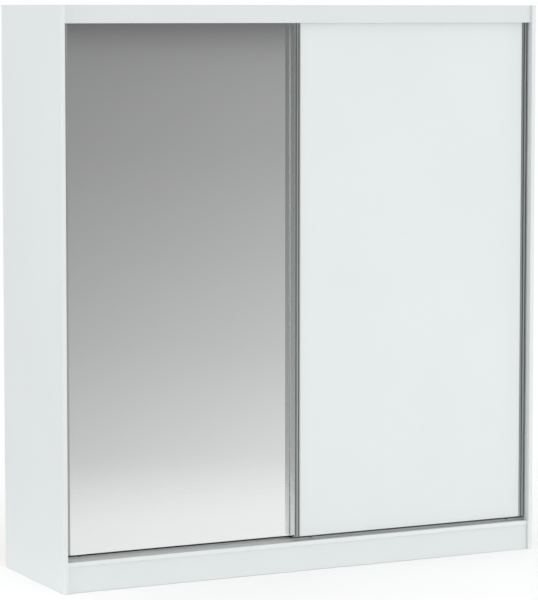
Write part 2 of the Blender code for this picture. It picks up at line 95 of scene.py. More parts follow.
# Stiles, from the outer front corner: the mirror's are flatter than the white panel's.
STILE_GROOVES = ((0.0038, 0.0076), (0.0156, 0.0194))
STILE_GROOVE_SLOPE = 0.0005
STILE_GROOVE_DEPTHS = {"panel": 0.0030, "mirror": 0.0007}
STILE_LIPS = {  # depths of the lip's top, foot and tip
    "panel": (0.0003, 0.0026, 0.0033),
    "mirror": (0.0001, 0.0004, 0.0009),
}
STILE_LIP_TIP = 0.0008
STILE_CORNER = 0.0014
STILE_WEB = 0.009
STILE_REAR_LIP = (0.024, 0.0014)  # reach and thickness
STILE_FLANGE = 0.0036
DOOR_BOARD = 0.016
PILE_CLEARANCE = 0.0004  # between the pile and the mirror door's stiles

TYRE_FLANGE, TYRE_TREAD = 0.013, 0.011
BEARING_SEAT, BEARING_BORE = 0.0078, 0.0027

FLAT = 0.999  # cosine above which a face counts as square to a direction
FACING = 0.9  # cosine above which a face counts as turned towards a direction

X, Y, Z = Vector((1, 0, 0)), Vector((0, 1, 0)), Vector((0, 0, 1))


# ---- Materials ------------------------------------------------------------------------------


def remapped(tree, value, start, end, low=0.0, high=1.0, interpolation="LINEAR"):
    """A value's stretch from start to end, spread over low to high."""
    spread = tree.nodes.new("ShaderNodeMapRange")
    spread.interpolation_type = interpolation
    for socket, number in (("From Min", start), ("From Max", end), ("To Min", low), ("To Max", high)):
        spread.inputs[socket].default_value = number
    tree.links.new(value, spread.inputs["Value"])
    return spread.outputs["Result"]


def surface(name, colour, roughness, metallic=0.0, layers=(), rough=None, bumps=(), **sockets):
    """A Principled material with procedural detail in the piece's own coordinates.
    layers are (colour, scale, stretch, from, to): noise between the two values blends that
    colour in. rough is (low, high, scale, stretch). bumps are (scale, stretch, depth)."""
    made = bpy.data.materials.new(name)
    made.use_nodes = True
    made.diffuse_color = (*colour, 1)
    tree = made.node_tree
    shader = tree.nodes["Principled BSDF"]
    shader.inputs["Base Color"].default_value = (*colour, 1)
    shader.inputs["Roughness"].default_value = roughness
    shader.inputs["Metallic"].default_value = metallic
    for socket, value in sockets.items():
        shader.inputs[socket.replace("_", " ")].default_value = value
    place = tree.nodes.new("ShaderNodeTexCoord").outputs["Object"]

    def noise(scale, stretch):
        mapping = tree.nodes.new("ShaderNodeMapping")
        mapping.inputs["Scale"].default_value = stretch
        texture = tree.nodes.new("ShaderNodeTexNoise")
        texture.inputs["Scale"].default_value = scale
        texture.inputs["Detail"].default_value = 3.0
        tree.links.new(place, mapping.inputs["Vector"])
        tree.links.new(mapping.outputs["Vector"], texture.inputs["Vector"])
        return texture.outputs["Fac"]

    below = None
    for tint, scale, stretch, start, end in layers:
        mix = tree.nodes.new("ShaderNodeMix")
        mix.data_type = "RGBA"
        for socket in mix.inputs:
            if socket.name == "A" and socket.type == "RGBA":
                socket.default_value = (*colour, 1)
                if below is not None:
                    tree.links.new(below, socket)
            if socket.name == "B" and socket.type == "RGBA":
                socket.default_value = (*tint, 1)
        share = remapped(tree, noise(scale, stretch), start, end)
        tree.links.new(share, mix.inputs["Factor"])
        below = next(s for s in mix.outputs if s.type == "RGBA")
    if below is not None:
        tree.links.new(below, shader.inputs["Base Color"])
    if rough:
        low, high, scale, stretch = rough
        varied = remapped(tree, noise(scale, stretch), 0.3, 0.7, low, high)
        tree.links.new(varied, shader.inputs["Roughness"])
    normal = None
    for scale, stretch, depth in bumps:
        bump = tree.nodes.new("ShaderNodeBump")
        bump.inputs["Distance"].default_value = depth
        tree.links.new(noise(scale, stretch), bump.inputs["Height"])
        if normal is not None:
            tree.links.new(normal, bump.inputs["Normal"])
        normal = bump.outputs["Normal"]
    if normal is not None:
        tree.links.new(normal, shader.inputs["Normal"])
    return made


EVEN = (1, 1, 1)
ALONG_Z = (1, 1, 0.004)
ALONG_X = (0.004, 1, 1)


def laminate(name, white):
    """Satin white melamine with faint clouding and a fine grain."""
    cloud, grain = [tuple(share * channel for channel in white) for share in (0.980, 1.012)]
    return surface(
        name, white, 0.46,
        layers=[(cloud, 3.0, EVEN, 0.35, 0.70), (grain, 420, EVEN, 0.45, 0.75)],
        rough=(0.42, 0.50, 260, EVEN),
        bumps=[(1100, EVEN, 0.000018), (160, EVEN, 0.000012)],
    )


LAMINATE = laminate("white_laminate", (0.766, 0.801, 0.807))
DOOR_LAMINATE = laminate("white_door_laminate", (0.807, 0.843, 0.848))
BAND = surface(
    "white_edge_band", (0.817, 0.848, 0.850), 0.36,
    layers=[((0.800, 0.832, 0.835), 14, EVEN, 0.35, 0.70)],
    rough=(0.33, 0.41, 90, EVEN),
    bumps=[(700, (1, 1, 0.2), 0.000012)],
)
GLUE = surface(
    "edge_glue_line", (0.60, 0.60, 0.57), 0.7,
    layers=[((0.74, 0.75, 0.73), 120, EVEN, 0.40, 0.65)],
)
CHIPBOARD = surface(
    "raw_chipboard", (0.53, 0.40, 0.27), 0.86,
    layers=[
        ((0.66, 0.53, 0.37), 520, (1, 1, 0.45), 0.48, 0.60),
        ((0.34, 0.23, 0.14), 640, (1, 1, 0.5), 0.60, 0.70),
        ((0.74, 0.62, 0.45), 260, (1, 1, 0.3), 0.62, 0.72),
    ],
    bumps=[(800, (1, 1, 0.4), 0.00012)],
)
HARDBOARD = surface(
    "raw_hardboard", (0.37, 0.245, 0.155), 0.72,
    layers=[
        ((0.345, 0.226, 0.142), 5.0, EVEN, 0.40, 0.70),
        ((0.43, 0.30, 0.20), 340, (1, 1, 0.5), 0.48, 0.62),
        ((0.22, 0.135, 0.08), 520, (0.5, 1, 1), 0.60, 0.70),
    ],
    rough=(0.62, 0.80, 40, EVEN),
    bumps=[(900, EVEN, 0.00006)],
)
WHITE_FOIL = surface(
    "white_back_foil", (0.80, 0.82, 0.82), 0.5,
    layers=[((0.78, 0.80, 0.80), 4.0, EVEN, 0.35, 0.70)],
    bumps=[(500, EVEN, 0.000020), (14, EVEN, 0.00012)],
)


def aluminium(name, stretch, tone, roughness, metallic=1.0):
    """Anodised extrusion with fine drawing lines along its length."""
    colour = (tone, 1.03 * tone, 1.02 * tone)
    darker, lighter = [tuple(share * channel for channel in colour) for share in (0.88, 1.08)]
    return surface(
        name, colour, roughness, metallic,
        layers=[(darker, 900, stretch, 0.40, 0.70), (lighter, 2600, stretch, 0.50, 0.72)],
        rough=(0.85 * roughness, 1.18 * roughness, 1500, stretch),
        bumps=[(3200, stretch, 0.000004), (700, stretch, 0.000006)],
    )


UPRIGHT_ALUMINIUM = aluminium("satin_aluminium_upright", ALONG_Z, 0.48, 0.34)
# painted shade: a darker copy of the stile aluminium for the faces inside the grooves, where shade
# falls
GROOVE_ALUMINIUM_PAINTED_SHADE = aluminium("aluminium_groove_painted_shade", ALONG_Z, 0.20, 0.45, 0.8)
# painted light: a brighter copy of the stile aluminium for the outer side and the faces behind the
# panel's front, which lie in shade between the doors
FLANK_ALUMINIUM_PAINTED_LIGHT = aluminium("aluminium_flank_painted_light", ALONG_Z, 0.86, 0.16, 0.95)
LEVEL_ALUMINIUM = aluminium("satin_aluminium_level", ALONG_X, 0.65, 0.56, 0.86)
SILVER = surface(
    "mirror_silver", (0.875, 0.885, 0.882), 0.012, 0.97,
    layers=[((0.868, 0.880, 0.874), 2.2, EVEN, 0.35, 0.70)],
    Specular_IOR_Level=0.5,
)
GLASS_EDGE = surface(
    "ground_glass_edge", (0.30, 0.42, 0.37), 0.22,
    layers=[((0.45, 0.58, 0.52), 300, EVEN, 0.40, 0.65)],
    bumps=[(1400, EVEN, 0.00002)],
)
MIRROR_PAINT = surface(
    "mirror_backing_paint", (0.24, 0.25, 0.26), 0.55,
    layers=[((0.30, 0.31, 0.32), 60, EVEN, 0.40, 0.70)],
    bumps=[(500, EVEN, 0.00003)],
)
CHROME = surface(
    "chrome_plating", (0.80, 0.80, 0.81), 0.09, 1.0,
    layers=[((0.76, 0.765, 0.78), 8, EVEN, 0.40, 0.70)],
    rough=(0.06, 0.14, 60, EVEN),
    bumps=[(300, EVEN, 0.000002)],
)
STEEL = surface(
    "bright_steel", (0.62, 0.62, 0.63), 0.28, 1.0,
    layers=[((0.52, 0.52, 0.535), 700, EVEN, 0.40, 0.70)],
    rough=(0.22, 0.38, 900, EVEN),
    bumps=[(2500, EVEN, 0.000004)],
)
ZINC = surface(
    "zinc_plated_steel", (0.60, 0.61, 0.62), 0.36, 1.0,
    layers=[
        ((0.72, 0.73, 0.72), 420, EVEN, 0.45, 0.60),
        ((0.46, 0.47, 0.49), 240, EVEN, 0.58, 0.70),
    ],
    rough=(0.28, 0.48, 500, EVEN),
    bumps=[(1600, EVEN, 0.000008)],
)
NYLON = surface(
    "white_nylon", (0.84, 0.84, 0.81), 0.42,
    layers=[((0.79, 0.79, 0.755), 160, EVEN, 0.40, 0.70)],
    rough=(0.36, 0.50, 400, EVEN),
    bumps=[(1500, EVEN, 0.00001)],
    Subsurface_Weight=0.08, Subsurface_Scale=0.002,
)
GREY_PLASTIC = surface(
    "grey_plastic", (0.36, 0.37, 0.375), 0.5,
    layers=[((0.32, 0.33, 0.335), 90, EVEN, 0.40, 0.70)],
    rough=(0.44, 0.58, 600, EVEN),
    bumps=[(1800, EVEN, 0.00002)],
)
BLACK_PLASTIC = surface(
    "black_plastic", (0.028, 0.028, 0.030), 0.5,
    layers=[((0.040, 0.040, 0.042), 90, EVEN, 0.40, 0.70)],
    rough=(0.42, 0.58, 600, EVEN),
    bumps=[(1800, EVEN, 0.00002)],
)
WHITE_PLASTIC = surface(
    "white_plastic", (0.80, 0.81, 0.80), 0.38,
    layers=[((0.77, 0.78, 0.775), 70, EVEN, 0.40, 0.70)],
    rough=(0.32, 0.46, 500, EVEN),
    bumps=[(1500, EVEN, 0.00001)],
)
PILE = surface(
    "white_pile", (0.79, 0.80, 0.80), 0.95,
    layers=[((0.66, 0.67, 0.67), 1400, (0.3, 0.3, 1), 0.42, 0.66)],
    bumps=[(2600, (0.2, 0.2, 1), 0.00015)],
)


# ---- Mesh helpers ---------------------------------------------------------------------------


def piece(name, shape, materials, body, stands_for=()):
    """A finished bmesh as a piece that rides on a CAD body."""
    bmesh.ops.recalc_face_normals(shape, faces=shape.faces)
    mesh = bpy.data.meshes.new(name)
    shape.to_mesh(mesh)
    shape.free()
    for finish in materials:
        mesh.materials.append(finish)
    obj = bpy.data.objects.new(name, mesh)
    SCENE.collection.objects.link(obj)
    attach(obj, body)
    if stands_for:
        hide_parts(*stands_for)
    return obj


def smooth(obj, angle=32):
    obj.data.shade_smooth()
    obj.data.set_sharp_from_angle(angle=math.radians(angle))
    return obj


def flat_faces_stay_flat(obj):
    """Rounded edges shade round and the large faces shade flat."""
    obj.data.shade_smooth()
    normals = obj.modifiers.new("weighted_normals", "WEIGHTED_NORMAL")
    normals.weight = 90
    return obj


def block(low, high):
    """A bmesh box between two corners."""
    shape = bmesh.new()
    bmesh.ops.create_cube(shape, size=1.0)
    bmesh.ops.scale(shape, vec=high - low, verts=shape.verts)
    bmesh.ops.translate(shape, vec=(low + high) / 2, verts=shape.verts)
    return shape


def carve(obj, cutter_shape, finish_index):
    """Takes a shape out of a piece. The new faces take the piece's material of that index."""
    for face in cutter_shape.faces:
        face.material_index = finish_index
    bmesh.ops.recalc_face_normals(cutter_shape, faces=cutter_shape.faces)
    mesh = bpy.data.meshes.new("cutter")
    cutter_shape.to_mesh(mesh)
    cutter_shape.free()
    tool = bpy.data.objects.new("cutter", mesh)
    SCENE.collection.objects.link(tool)
    modifier = obj.modifiers.new("carve", "BOOLEAN")
    modifier.operation = "DIFFERENCE"
    modifier.solver = "EXACT"
    modifier.object = tool
    graph = bpy.context.evaluated_depsgraph_get()
    carved = bpy.data.meshes.new_from_object(obj.evaluated_get(graph))
    obj.modifiers.clear()
    before = obj.data
    obj.data = carved
    bpy.data.meshes.remove(before)
    bpy.data.objects.remove(tool)
    bpy.data.meshes.remove(mesh)
    carved.name = obj.name


def across(axis):
    """The axis as a unit vector, and two directions square to it."""
    along = Vector(axis).normalized()
    side = along.orthogonal().normalized()
    return along, side, along.cross(side)


def turned(shape, profile, centre, axis, steps=24):
    """Adds a turned solid: profile is closed (radius, height) pairs along the axis.
    Points of radius 0 become one vertex."""
    along, side, other = across(axis)
    rings = []
    for radius, height in profile:
        middle = Vector(centre) + along * height
        if radius == 0:
            rings.append([shape.verts.new(middle)])
            continue
        ring = []
        for step in range(steps):
            angle = math.tau * step / steps
            outwards = side * math.cos(angle) + other * math.sin(angle)
            ring.append(shape.verts.new(middle + radius * outwards))
        rings.append(ring)
    whole = profile[0][0] != 0
    pairs = zip(rings, rings[1:] + rings[:1]) if whole else zip(rings, rings[1:])
    for first, second in pairs:
        for step in range(steps):
            after = (step + 1) % steps
            corners = []
            for vert in (
                first[step % len(first)],
                first[after % len(first)],
                second[after % len(second)],
                second[step % len(second)],
            ):
                if vert not in corners:
                    corners.append(vert)
            if len(corners) > 2:
                shape.faces.new(corners)


def rounded(outline, radius, steps=2):
    """The closed outline with each corner eased."""
    most = 0.35  # share of a side that a corner may take
    made = []
    for index, corner in enumerate(outline):
        here = Vector(corner)
        before = Vector(outline[index - 1]) - here
        after = Vector(outline[(index + 1) % len(outline)]) - here
        reach = min(radius, most * before.length, most * after.length)
        start = here + before.normalized() * reach
        end = here + after.normalized() * reach
        for step in range(steps + 1):
            t = step / steps
            made.append(start * (1 - t) ** 2 + here * (2 * t * (1 - t)) + end * t**2)
    return made


def bridge(shape, near, far):
    """Adds a band of faces between two closed loops of as many vertices."""
    for i in range(len(near)):
        j = (i + 1) % len(near)
        shape.faces.new((near[i], near[j], far[j], far[i]))


def swept(shape, outlines, sideways, up, along, start, end):
    """Sweeps outlines (an outer one and, for a tube, an inner one of as many points).
    A point (a, b) of an outline is at a * sideways + b * up, and the sweep goes from
    start to end along the third direction."""
    loops = []
    for outline in outlines:
        for distance in (start, end):
            spots = [sideways * a + up * b + along * distance for a, b in outline]
            loops.append([shape.verts.new(spot) for spot in spots])
    for near, far in zip(loops[::2], loops[1::2]):
        bridge(shape, near, far)
    if len(outlines) == 1:
        shape.faces.new(loops[0])
        shape.faces.new(loops[1])
    else:
        bridge(shape, loops[0], loops[2])
        bridge(shape, loops[1], loops[3])


def lofted(shape, outlines):
    """Joins closed outlines of as many points into one ring, the last one to the first."""
    loops = [[shape.verts.new(point) for point in outline] for outline in outlines]
    for near, far in zip(loops, loops[1:] + loops[:1]):
        bridge(shape, near, far)


def stadium(width, height, steps=12):
    """An upright slot shape around the origin."""
    radius = width / 2
    reach = height / 2 - radius
    points = []
    for middle, first in ((reach, 0), (-reach, 180)):
        for step in range(steps + 1):
            angle = math.radians(first + 180 * step / steps)
            points.append((radius * math.cos(angle), middle + radius * math.sin(angle)))
    return points


def screw_head(shape, centre, axis, radius, rise):
    """A low domed screw head with a cross recess."""
    along, side, other = across(axis)

    def at(a, b, height):
        return shape.verts.new(Vector(centre) + side * a + other * b + along * height)

    steps = 20
    angles = [math.tau * step / steps for step in range(steps)]
    rings = []
    for share, height in ((1.0, 0.0), (1.0, 0.25 * rise), (0.86, 0.72 * rise), (0.66, rise)):
        reach = share * radius
        rings.append([at(reach * math.cos(angle), reach * math.sin(angle), height) for angle in angles])
    for first, second in zip(rings, rings[1:]):
        bridge(shape, first, second)
    shape.faces.new(rings[0])
    recess, slot, depth, taper = 0.56 * radius, 0.15 * radius, 0.8 * rise, 0.7
    arms = []
    for turn in range(4):
        c, s = math.cos(turn * math.pi / 2), math.sin(turn * math.pi / 2)
        for a, b in ((recess, -slot), (recess, slot), (slot, slot)):
            arms.append((c * a - s * b, s * a + c * b))
    top = [at(a, b, rise) for a, b in arms]
    floor = [at(taper * a, taper * b, rise - depth) for a, b in arms]
    bridge(shape, top, floor)
    shape.faces.new(floor)
    edges = []
    for loop in (top, rings[-1]):
        edges += [shape.edges.get(pair) for pair in zip(loop, loop[1:] + loop[:1])]
    bmesh.ops.triangle_fill(shape, edges=edges, use_beauty=True, use_dissolve=False)


# ---- Laminated boards -----------------------------------------------------------------------

BOARD_FINISHES = (LAMINATE, BAND, CHIPBOARD, GLUE)
SHEET, EDGE, RAW, SEAM = range(len(BOARD_FINISHES))
SHELVES = [f"shelf_{number}" for number in range(1, 5)]


def board(node, raw=()):
    """A laminated board in a node's box, with rounded edge bands and their glue lines.
    raw lists the directions that its unbanded edges face."""
    low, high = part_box(node)
    thin = min(range(3), key=lambda axis: (high - low)[axis])
    shape = block(low, high)
    bmesh.ops.bevel(
        shape, geom=shape.edges[:], offset=BAND_ROUND, segments=3, profile=0.5, affect="EDGES"
    )
    bmesh.ops.recalc_face_normals(shape, faces=shape.faces)
    sheets = []
    for face in shape.faces:
        face.material_index = EDGE
        if abs(face.normal[thin]) > FLAT:
            face.material_index = SHEET
            sheets.append(face)
        if any(face.normal.dot(direction) > FLAT for direction in raw):
            face.material_index = RAW
    inset = bmesh.ops.inset_individual(shape, faces=sheets, thickness=GLUE_LINE)
    for face in inset["faces"]:
        face.material_index = SEAM
    return piece(f"{node}_laminated", shape, BOARD_FINISHES, "carcass", [node])


def pin_heights():
    """Heights of the shelf pins, which carry the undersides of the shelves."""
    return [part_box(shelf)[0].z - PIN_HOLE_RADIUS for shelf in SHELVES]


def pin_rows():
    """Y of the two rows of shelf pins."""
    low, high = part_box(SHELVES[0])
    return (low.y + PIN_SETBACK, high.y - PIN_SETBACK)


def pin_holes(x, inwards):
    """Rows of holes into a wall from its face at x, a few above and below each shelf's pins."""
    depth = DRILL_LEAD + PIN_HOLE_DEPTH
    drill = ((0, 0), (PIN_HOLE_RADIUS, 0), (PIN_HOLE_RADIUS, depth), (0, depth + DRILL_POINT))
    shape = bmesh.new()
    for height in pin_heights():
        for y in pin_rows():
            for step in range(-HOLES_EACH_WAY, HOLES_EACH_WAY + 1):
                start = Vector((x - inwards * DRILL_LEAD, y, height + step * PIN_PITCH))
                turned(shape, drill, start, X * inwards, 12)
    return shape


def back_groove(side, inner, sign):
    """The groove along a side panel's inner face, for one of the back panels."""
    low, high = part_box(f"side_panel_{side}")
    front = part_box(f"back_panel_{side}")[0].y - GAP
    depth, width = BACK_GROOVE
    reach = sorted((inner - sign * GROOVE_OVERRUN, inner + sign * depth))
    return block(
        Vector((reach[0], front, low.z - GROOVE_OVERRUN)),
        Vector((reach[1], front + width, high.z + GROOVE_OVERRUN)),
    )


def case_boards():
    rear = (Y,)
    for side, sign in (("left", -1), ("right", 1)):
        panel = board(f"side_panel_{side}", rear)
        low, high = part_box(f"side_panel_{side}")
        inner = high.x if sign < 0 else low.x
        carve(panel, back_groove(side, inner, sign), RAW)
        if sign > 0:
            carve(panel, pin_holes(inner, 1), RAW)
        flat_faces_stay_flat(panel)
    inside = ["top_panel", "bottom_panel", "centre_partition", "hat_shelf_left", "hat_shelf_right"]
    for node in inside + SHELVES:
        flat_faces_stay_flat(board(node, rear))
    flat_faces_stay_flat(board("fascia"))
    for node in ("plinth_front", "plinth_rear", "plinth_brace"):
        flat_faces_stay_flat(board(node))
    column = board("shelf_partition", rear)
    carve(column, pin_holes(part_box("shelf_partition")[1].x, -1), RAW)
    flat_faces_stay_flat(column)


def back():
    for side in ("left", "right"):
        node = f"back_panel_{side}"
        shape = block(*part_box(node))
        bmesh.ops.recalc_face_normals(shape, faces=shape.faces)
        bmesh.ops.bevel(shape, geom=shape.edges[:], offset=0.0003, segments=1, affect="EDGES")
        finishes = (HARDBOARD, WHITE_FOIL)
        for face in shape.faces:
            inside = face.normal.y < -FACING
            face.material_index = finishes.index(WHITE_FOIL if inside else HARDBOARD)
        piece(f"{node}_sheet", shape, finishes, "carcass", [node])
    back_joint()
    back_nails()


def back_joint():
    """The moulding between the two back panels: a web with a low crowned flange behind them."""
    low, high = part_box("back_joint_strip")
    web, slope, crown = 0.0012, 0.0012, 0.0004
    flange = (high.x - low.x) / 2
    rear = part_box("back_panel_left")[1].y + GAP
    outline = [
        (-web, low.y), (web, low.y), (web, rear), (flange, rear),
        (flange - slope, high.y - crown), (2 * web, high.y), (-2 * web, high.y),
        (slope - flange, high.y - crown), (-flange, rear), (-web, rear),
    ]
    shape = bmesh.new()
    swept(shape, [rounded(outline, 0.0004)], X, Y, Z, low.z, high.z)
    finish = (WHITE_PLASTIC,)
    smooth(piece("back_joint_moulding", shape, finish, "carcass", ["back_joint_strip"]))


def back_nails():
    """Nail heads through the back into the boards that it lies on, not quite in line."""
    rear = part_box("back_panel_left")[1].y
    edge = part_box("back_panel_right")[1].x
    first, last = NAIL_INSETS[0], edge - NAIL_INSETS[1]
    spots = []
    for node in ("top_panel", "hat_shelf_left", "bottom_panel"):
        low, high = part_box(node)
        height = (low.z + high.z) / 2
        for number in range(NAILS_ACROSS):
            x = first + number * (last - first) / (NAILS_ACROSS - 1)
            spots += [(x, height), (-x, height)]
    low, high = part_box("shelf_partition")
    bottom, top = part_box("bottom_panel")[1].z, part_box("hat_shelf_left")[0].z
    for number in range(1, NAILS_UP + 1):
        spots.append(((low.x + high.x) / 2, bottom + number * (top - bottom) / (NAILS_UP + 1)))
    shape = bmesh.new()
    for number, (x, z) in enumerate(spots):
        sway = NAIL_SWAY * math.sin(7.3 * number)
        turned(shape, NAIL_HEAD, (x + sway, rear, z - sway), Y, 14)
    smooth(piece("back_nails", shape, (ZINC,), "carcass"))


# ---- Fittings inside ------------------------------------------------------------------------


def rails():
    for side in ("left", "right"):
        node = f"hanging_rail_{side}"
        low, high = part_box(node)
        width, height = high.y - low.y, high.z - low.z
        middle = (low + high) / 2
        bore = (width - 2 * RAIL_WALL, height - 2 * RAIL_WALL)
        shape = bmesh.new()
        swept(shape, [stadium(width, height, 16), stadium(*bore, 16)], Y, Z, X, low.x, high.x)
        bmesh.ops.translate(shape, vec=(0, middle.y, middle.z), verts=shape.verts)
        smooth(piece(f"{node}_tube", shape, (CHROME,), "carcass", [node]))
        for end in ("outer", "inner"):
            rail_socket(f"rail_socket_{side}_{end}", middle)


def rail_socket(node, rail_middle):
    """A ring around the rail's end that rises from a flange with two screws."""
    low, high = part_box(node)
    ring = (high.y - low.y, high.z - low.z)
    wall = high.x if rail_middle.x < low.x else low.x
    inwards = 1 if rail_middle.x > wall else -1
    free = low.x + high.x - wall
    plate = wall + inwards * SOCKET_PLATE
    flange = [size + extra for size, extra in zip(ring, SOCKET_FLANGE)]
    eased = [size - 2 * SOCKET_LIP for size in ring]
    sections = (
        (flange, wall), (flange, plate), (ring, plate), (ring, free - inwards * SOCKET_LIP),
        (eased, free), (SOCKET_HOLE, free), (SOCKET_HOLE, wall),
    )
    shape = bmesh.new()
    lofted(shape, [[(x, a, b) for a, b in stadium(*size)] for size, x in sections])
    middle = (low + high) / 2
    bmesh.ops.translate(shape, vec=(0, middle.y, middle.z), verts=shape.verts)
    screw_height = ring[1] / 2 + SOCKET_FLANGE[1] / 4
    for sign in (-1, 1):
        spot = (plate, middle.y, middle.z + sign * screw_height)
        screw_head(shape, spot, X * inwards, 0.0032, 0.0011)
    smooth(piece(f"{node}_flanged", shape, (CHROME,), "carcass", [node]), 40)


def shelf_pins():
    """Steel pins with a collar, in the walls under each shelf's corners."""
    shape = bmesh.new()
    for height in pin_heights():
        for y in pin_rows():
            for node, sign in (("side_panel_right", 1), ("shelf_partition", -1)):
                low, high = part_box(node)
                wall = low.x if sign > 0 else high.x
                turned(shape, SHELF_PIN, (wall, y, height), X * sign, 18)
    smooth(piece("shelf_pins", shape, (ZINC,), "carcass"))


def cam_covers():
    """Plastic covers over the cam fittings under the hat shelves and under the top."""
    shape = bmesh.new()
    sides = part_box("side_panel_left")[1].x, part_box("side_panel_right")[0].x
    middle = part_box("centre_partition")
    for node in ("hat_shelf_left", "hat_shelf_right", "top_panel"):
        low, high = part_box(node)
        walls = [sides[0], middle[0].x, middle[1].x, sides[1]]
        for wall, inwards in zip(walls, (1, -1, 1, -1)):
            x = wall + inwards * CAM_INSET
            if not low.x < x < high.x:
                continue
            for y in (low.y + CAM_SETBACK, high.y - CAM_SETBACK):
                turned(shape, CAM_COVER, (x, y, low.z), -Z, 24)
    smooth(piece("cam_covers", shape, (WHITE_PLASTIC,), "carcass"))


# ---- Tracks ---------------------------------------------------------------------------------


def guide_lines():
    """Y of the wheels' middle planes, front door first."""
    lines = []
    for door in ("panel", "mirror"):
        low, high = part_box(f"{door}_door_wheel_left")
        lines.append((low.y + high.y) / 2)
    return lines


def track(name, node, outline, height, ease):
    """A track with the outline (y, height above the given one), as long as its node."""
    low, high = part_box(node)
    shape = bmesh.new()
    swept(shape, [rounded(outline, ease)], Y, Z, X, low.x, high.x)
    bmesh.ops.translate(shape, vec=(0, 0, height), verts=shape.verts)
    smooth(piece(name, shape, (LEVEL_ALUMINIUM,), "carcass", [node]))


def bottom_track():
    """A flat strip with a rib for each door's wheels."""
    low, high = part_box("bottom_track")
    half, rib = RIB[0] / 2, RIB[1]
    outline = [(low.y, 0), (high.y, 0), (high.y, TRACK_WALL)]
    for middle in reversed(guide_lines()):
        outline += [
            (middle + half + RIB_FOOT, TRACK_WALL), (middle + half, TRACK_WALL + RIB_FOOT),
            (middle + half, rib), (middle - half, rib),
            (middle - half, TRACK_WALL + RIB_FOOT), (middle - half - RIB_FOOT, TRACK_WALL),
        ]
    outline.append((low.y + TRACK_WALL, TRACK_WALL))
    track("bottom_track_rail", "bottom_track", outline, low.z, 0.0004)


def top_track():
    """Two channels, open downwards, that the doors' top guides run in."""
    low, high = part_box("top_track")
    half = CHANNEL_WIDTH / 2
    front, rear = guide_lines()
    foot, roof = low.z - high.z, -TRACK_WALL
    outline = [(low.y, 0), (low.y, foot)]
    for middle in (front, rear):
        outline += [
            (middle - half, foot), (middle - half, roof), (middle + half, roof),
            (middle + half, foot), (middle + half + TRACK_WALL, foot),
        ]
        if middle == front:
            outline += [
                (middle + half + TRACK_WALL, roof), (rear - half - TRACK_WALL, roof),
                (rear - half - TRACK_WALL, foot),
            ]
    outline.append((high.y, 0))
    track("top_track_rail", "top_track", outline, high.z, 0.0003)


def track_screws():
    low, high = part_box("bottom_track")
    y = sum(guide_lines()) / 2
    shape = bmesh.new()
    pitch = (high.x - low.x - 2 * TRACK_SCREW_INSET) / (TRACK_SCREWS - 1)
    for number in range(TRACK_SCREWS):
        x = low.x + TRACK_SCREW_INSET + number * pitch
        screw_head(shape, (x, y, low.z + TRACK_WALL), Z, 0.0036, 0.0009)
    smooth(piece("track_screws", shape, (ZINC,), "carcass"))


# ---- Doors ----------------------------------------------------------------------------------


# the plain aluminium, a darker copy as painted shade for the grooves and a brighter copy as painted
# light for the flanks
STILE_ALUMINIUM_AND_PAINTED_LIGHT = (UPRIGHT_ALUMINIUM, GROOVE_ALUMINIUM_PAINTED_SHADE, FLANK_ALUMINIUM_PAINTED_LIGHT)
PLAIN, PAINTED_SHADE_GROOVE, PAINTED_LIGHT_FLANK = range(len(STILE_ALUMINIUM_AND_PAINTED_LIGHT))


def stile_outline(kind, depth, width, proud):
    """Section of a stile from its outer front corner: two decorative grooves, a sloping lip
    over the panel, a channel for it, and a flange that reaches back behind it."""
    groove_depth = STILE_GROOVE_DEPTHS[kind]
    lip_top, lip_foot, lip_tip = STILE_LIPS[kind]
    outline = [(0, 0)]
    for start, end in STILE_GROOVES:
        outline += [
            (start, 0),
            (start + STILE_GROOVE_SLOPE, groove_depth),
            (end - STILE_GROOVE_SLOPE, groove_depth),
        ]
        if (start, end) != STILE_GROOVES[-1]:
            outline.append((end, 0))
    channel_front = proud - GAP
    channel_rear = proud + DOOR_BOARD + GAP
    reach, thickness = STILE_REAR_LIP
    outline += [
        (STILE_GROOVES[-1][1], lip_top), (width - STILE_LIP_TIP, lip_foot), (width, lip_tip),
        (width, channel_front), (STILE_WEB, channel_front), (STILE_WEB, channel_rear),
        (reach, channel_rear), (reach, channel_rear + thickness),
        (STILE_FLANGE, channel_rear + thickness), (STILE_FLANGE, depth), (0, depth),
    ]
    eased = rounded(outline, 0.00035)
    eased_corner = 3  # points that the rounded outline starts with
    corner = []
    for step in range(7):
        angle = math.radians(90 * step / 6)
        corner.append(Vector((1 - math.cos(angle), 1 - math.sin(angle))) * STILE_CORNER)
    return corner + eased[eased_corner:]


def stiles(kind, panel):
    """The stiles beside a door's panel, which they stand proud of."""
    for side, sign in (("left", 1), ("right", -1)):
        node = f"{kind}_door_stile_{side}"
        low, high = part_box(node)
        outer = low.x if sign > 0 else high.x
        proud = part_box(panel)[0].y - low.y
        section = stile_outline(kind, high.y - low.y, high.x - low.x, proud)
        shape = bmesh.new()
        swept(shape, [[(outer + sign * a, low.y + b) for a, b in section]], X, Y, Z, low.z, high.z)
        # groove faces get painted shade and flank faces painted light, as darker and brighter copies of
        # the aluminium
        for face in shape.faces:
            reach = sign * (face.calc_center_median().x - outer)
            face.material_index = stile_finish_and_painted_light(face, reach, low.y, proud)
        name, body = f"{node}_profile", f"{kind}_door"
        made = piece(name, shape, STILE_ALUMINIUM_AND_PAINTED_LIGHT, body, [node])
        smooth(made, 24)


